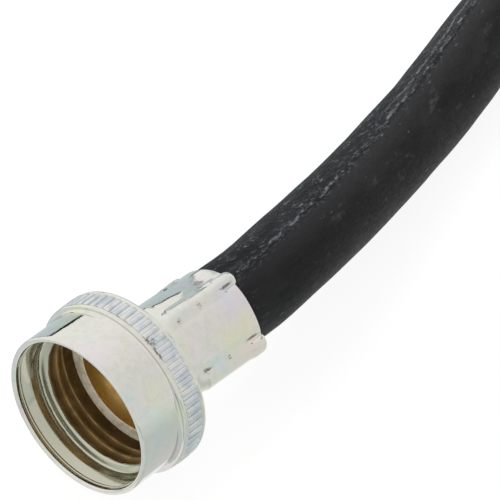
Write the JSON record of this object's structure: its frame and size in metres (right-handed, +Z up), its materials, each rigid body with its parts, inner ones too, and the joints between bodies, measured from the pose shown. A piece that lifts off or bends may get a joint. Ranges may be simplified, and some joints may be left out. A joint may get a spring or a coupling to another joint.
{
  "type": "soaker hose",
  "caption": "Coiled black soaker hose with a knurled swivel inlet coupling on a ribbed crimp ferrule, and a male outlet coupling closed by a screw cap.",
  "frame": {"origin": "on the floor below the middle of the inlet coupling, whose knurled band rests on the floor", "axes": "+Z up; +Y along the inlet coupling's axis, from its open mouth towards the hose; +X to the side where the coil lies"},
  "size_m": [0.2759, 0.2338, 0.1142],
  "materials": {
    "plated_steel": "zinc plated, faintly iridescent, satin",
    "passivated_steel": "zinc plated with a yellow passivation",
    "hose_rubber": "matte black extruded rubber with a chalky seam line",
    "washer_rubber": "matte black",
    "cap_plastic": "moulded black, fine satin"
  },
  "bodies": {
    "hose": {"inlet_stem": "passivated_steel", "inlet_ferrule": "plated_steel", "hose_inlet_end": "hose_rubber", "hose_lead": "hose_rubber", "hose_coil": "hose_rubber", "hose_tail": "hose_rubber", "hose_outlet_end": "hose_rubber", "outlet_ferrule": "plated_steel", "outlet_fitting": "plated_steel"},
    "nut": {"swivel_nut": "plated_steel"},
    "washer": {"cap_washer": "washer_rubber"},
    "cap": {"end_cap": "cap_plastic"}
  },
  "joints": [
    {"name": "nut_spin", "type": "hinge", "parent": "hose", "child": "nut", "pos_m": [0, 0, 0.0161], "axis": [0, 1, 0], "continuous": true},
    {"name": "cap_travel", "type": "slide", "parent": "hose", "child": "washer", "axis": [0, 1, 0], "range_m": [0, 0.0089]},
    {"name": "cap_turn", "type": "hinge", "parent": "washer", "child": "cap", "pos_m": [0.0405, 0.102, 0.0982], "axis": [0, 1, 0], "range_deg": [0, 1440]}
  ],
  "couplings": [
    {"joint": "cap_travel", "follows": "cap_turn", "m_per_rad": 0.00035157}
  ]
}
